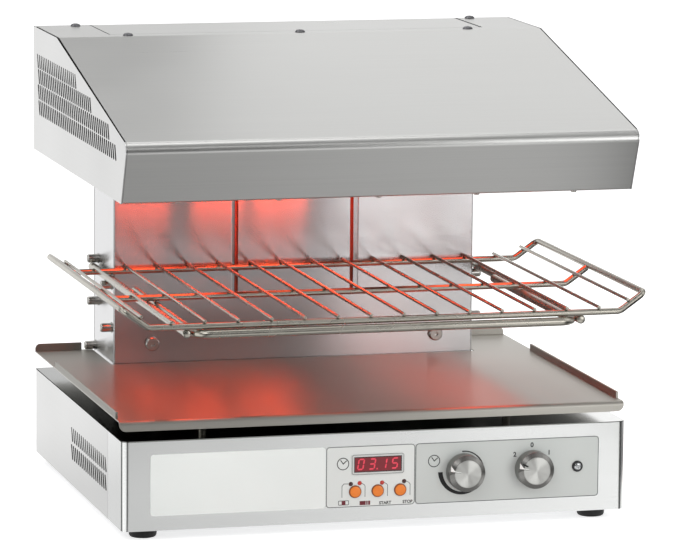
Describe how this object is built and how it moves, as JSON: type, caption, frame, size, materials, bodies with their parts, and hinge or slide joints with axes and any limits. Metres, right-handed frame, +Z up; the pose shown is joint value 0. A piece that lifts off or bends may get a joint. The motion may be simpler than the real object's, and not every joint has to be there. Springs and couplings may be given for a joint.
{
  "type": "salamander grill",
  "caption": "Open-fronted counter-top salamander grill with a heated hood on a rear column, a hanging wire rack, a drip tray and a base with timer, dials and keys.",
  "frame": {"origin": "on the table surface, under the middle of the base footprint", "axes": "+X to the right seen from the front, +Y to the back, +Z up"},
  "size_m": [0.6224, 0.554, 0.5423],
  "materials": {
    "satin_steel": "satin ground stainless sheet",
    "front_steel": "ground stainless sheet, grain along the front",
    "polished_steel": "polished stainless sheet",
    "bright_rod": "bright drawn stainless rod",
    "bright_fastener": "bright stainless screws, pins and nuts",
    "galvanised_steel": "plain galvanised sheet",
    "pale_plate": "pale plastic-faced plate",
    "panel_foil": "light grey printed foil",
    "bezel_plastic": "light grey frame",
    "display_red": "dark red filter",
    "black_plastic": "black moulded plastic",
    "orange_plastic": "orange key caps",
    "indicator_red": "dark red lens",
    "knob_metal": "turned metal skirt",
    "spun_aluminium": "spun aluminium disc",
    "lamp_silver": "clear lamp lens over silver",
    "rubber_black": "black rubber",
    "board_green": "circuit board",
    "relay_plastic": "relay housings",
    "terminal_ceramic": "white steatite",
    "reflector_bright": "bright aluminised sheet",
    "hot_quartz": "glowing quartz tubes",
    "wire_insulation": "heat-proof cable sleeve"
  },
  "bodies": {
    "cabinet": {"base_floor": "galvanised_steel", "base_shell": "satin_steel", "front_fascia": "front_steel", "base_top_plate": "polished_steel", "rubber_feet": "rubber_black", "machine_screws": "bright_fastener", "hex_nuts": "bright_fastener", "tray_posts": "bright_fastener", "blank_front_plate": "pale_plate", "timer_panel": "panel_foil", "knob_panel": "panel_foil", "display_bezel": "bezel_plastic", "display_window": "display_red", "display_module": "black_plastic", "circuit_boards": "board_green", "board_standoffs": "bright_fastener", "key_switches": "black_plastic", "indicator_lenses": "indicator_red", "timer_control": "black_plastic", "selector_switch": "black_plastic", "pilot_lamp_ring": "black_plastic", "pilot_lamp": "lamp_silver", "relays": "relay_plastic", "terminal_blocks": "terminal_ceramic", "cable_gland": "black_plastic", "earth_stud": "bright_fastener", "wiring": "wire_insulation", "column_shell": "satin_steel", "column_centre_panel": "satin_steel", "panel_rails": "galvanised_steel", "rear_cover": "satin_steel", "column_posts": "galvanised_steel", "column_bolts": "bright_fastener", "side_pins": "bright_fastener", "hood_cover": "satin_steel", "left_hood_cheek": "satin_steel", "right_hood_cheek": "satin_steel", "hood_rear_panel": "satin_steel", "hood_beam": "galvanised_steel", "hood_top_screws": "bright_fastener", "heater_pan": "satin_steel", "heater_reflectors": "reflector_bright", "heater_tubes": "hot_quartz", "heater_end_caps": "terminal_ceramic", "heater_guard_wires": "bright_rod"},
    "tray": {"tray": "satin_steel"},
    "carrier": {"carrier_arms": "bright_rod", "carrier_bow": "bright_rod"},
    "rack": {"rack_rim": "bright_rod", "rack_cross_bar": "bright_rod", "rack_wires": "bright_rod"},
    "timer_dial": {"timer_knob": "knob_metal", "timer_knob_cap": "spun_aluminium", "timer_spindle": "bright_fastener"},
    "selector_dial": {"selector_knob": "knob_metal", "selector_knob_cap": "spun_aluminium", "selector_spindle": "bright_fastener"},
    "zone_button": {"zone_key": "orange_plastic"},
    "start_button": {"start_key": "orange_plastic"},
    "stop_button": {"stop_key": "orange_plastic"}
  },
  "joints": [
    {"name": "tray_pull_out", "type": "slide", "parent": "cabinet", "child": "tray", "axis": [0, -1, 0], "range_m": [0, 0.55]},
    {"name": "carrier_pull_out", "type": "slide", "parent": "cabinet", "child": "carrier", "axis": [0, -1, 0], "range_m": [0, 0.55]},
    {"name": "rack_lift_off", "type": "slide", "parent": "carrier", "child": "rack", "axis": [0, -1, 0], "range_m": [0, 0.43]},
    {"name": "timer_turn", "type": "hinge", "parent": "cabinet", "child": "timer_dial", "pos_m": [0.1035, -0.2475, 0.0653], "axis": [0, 1, 0], "range_deg": [-285, 0]},
    {"name": "selector_turn", "type": "hinge", "parent": "cabinet", "child": "selector_dial", "pos_m": [0.1867, -0.2475, 0.0653], "axis": [0, 1, 0], "range_deg": [0, 100]},
    {"name": "zone_press", "type": "slide", "parent": "cabinet", "child": "zone_button", "axis": [0, 1, 0], "range_m": [0, 0.001], "stiffness_N_per_m": 600},
    {"name": "start_press", "type": "slide", "parent": "cabinet", "child": "start_button", "axis": [0, 1, 0], "range_m": [0, 0.001], "stiffness_N_per_m": 600},
    {"name": "stop_press", "type": "slide", "parent": "cabinet", "child": "stop_button", "axis": [0, 1, 0], "range_m": [0, 0.001], "stiffness_N_per_m": 600}
  ]
}
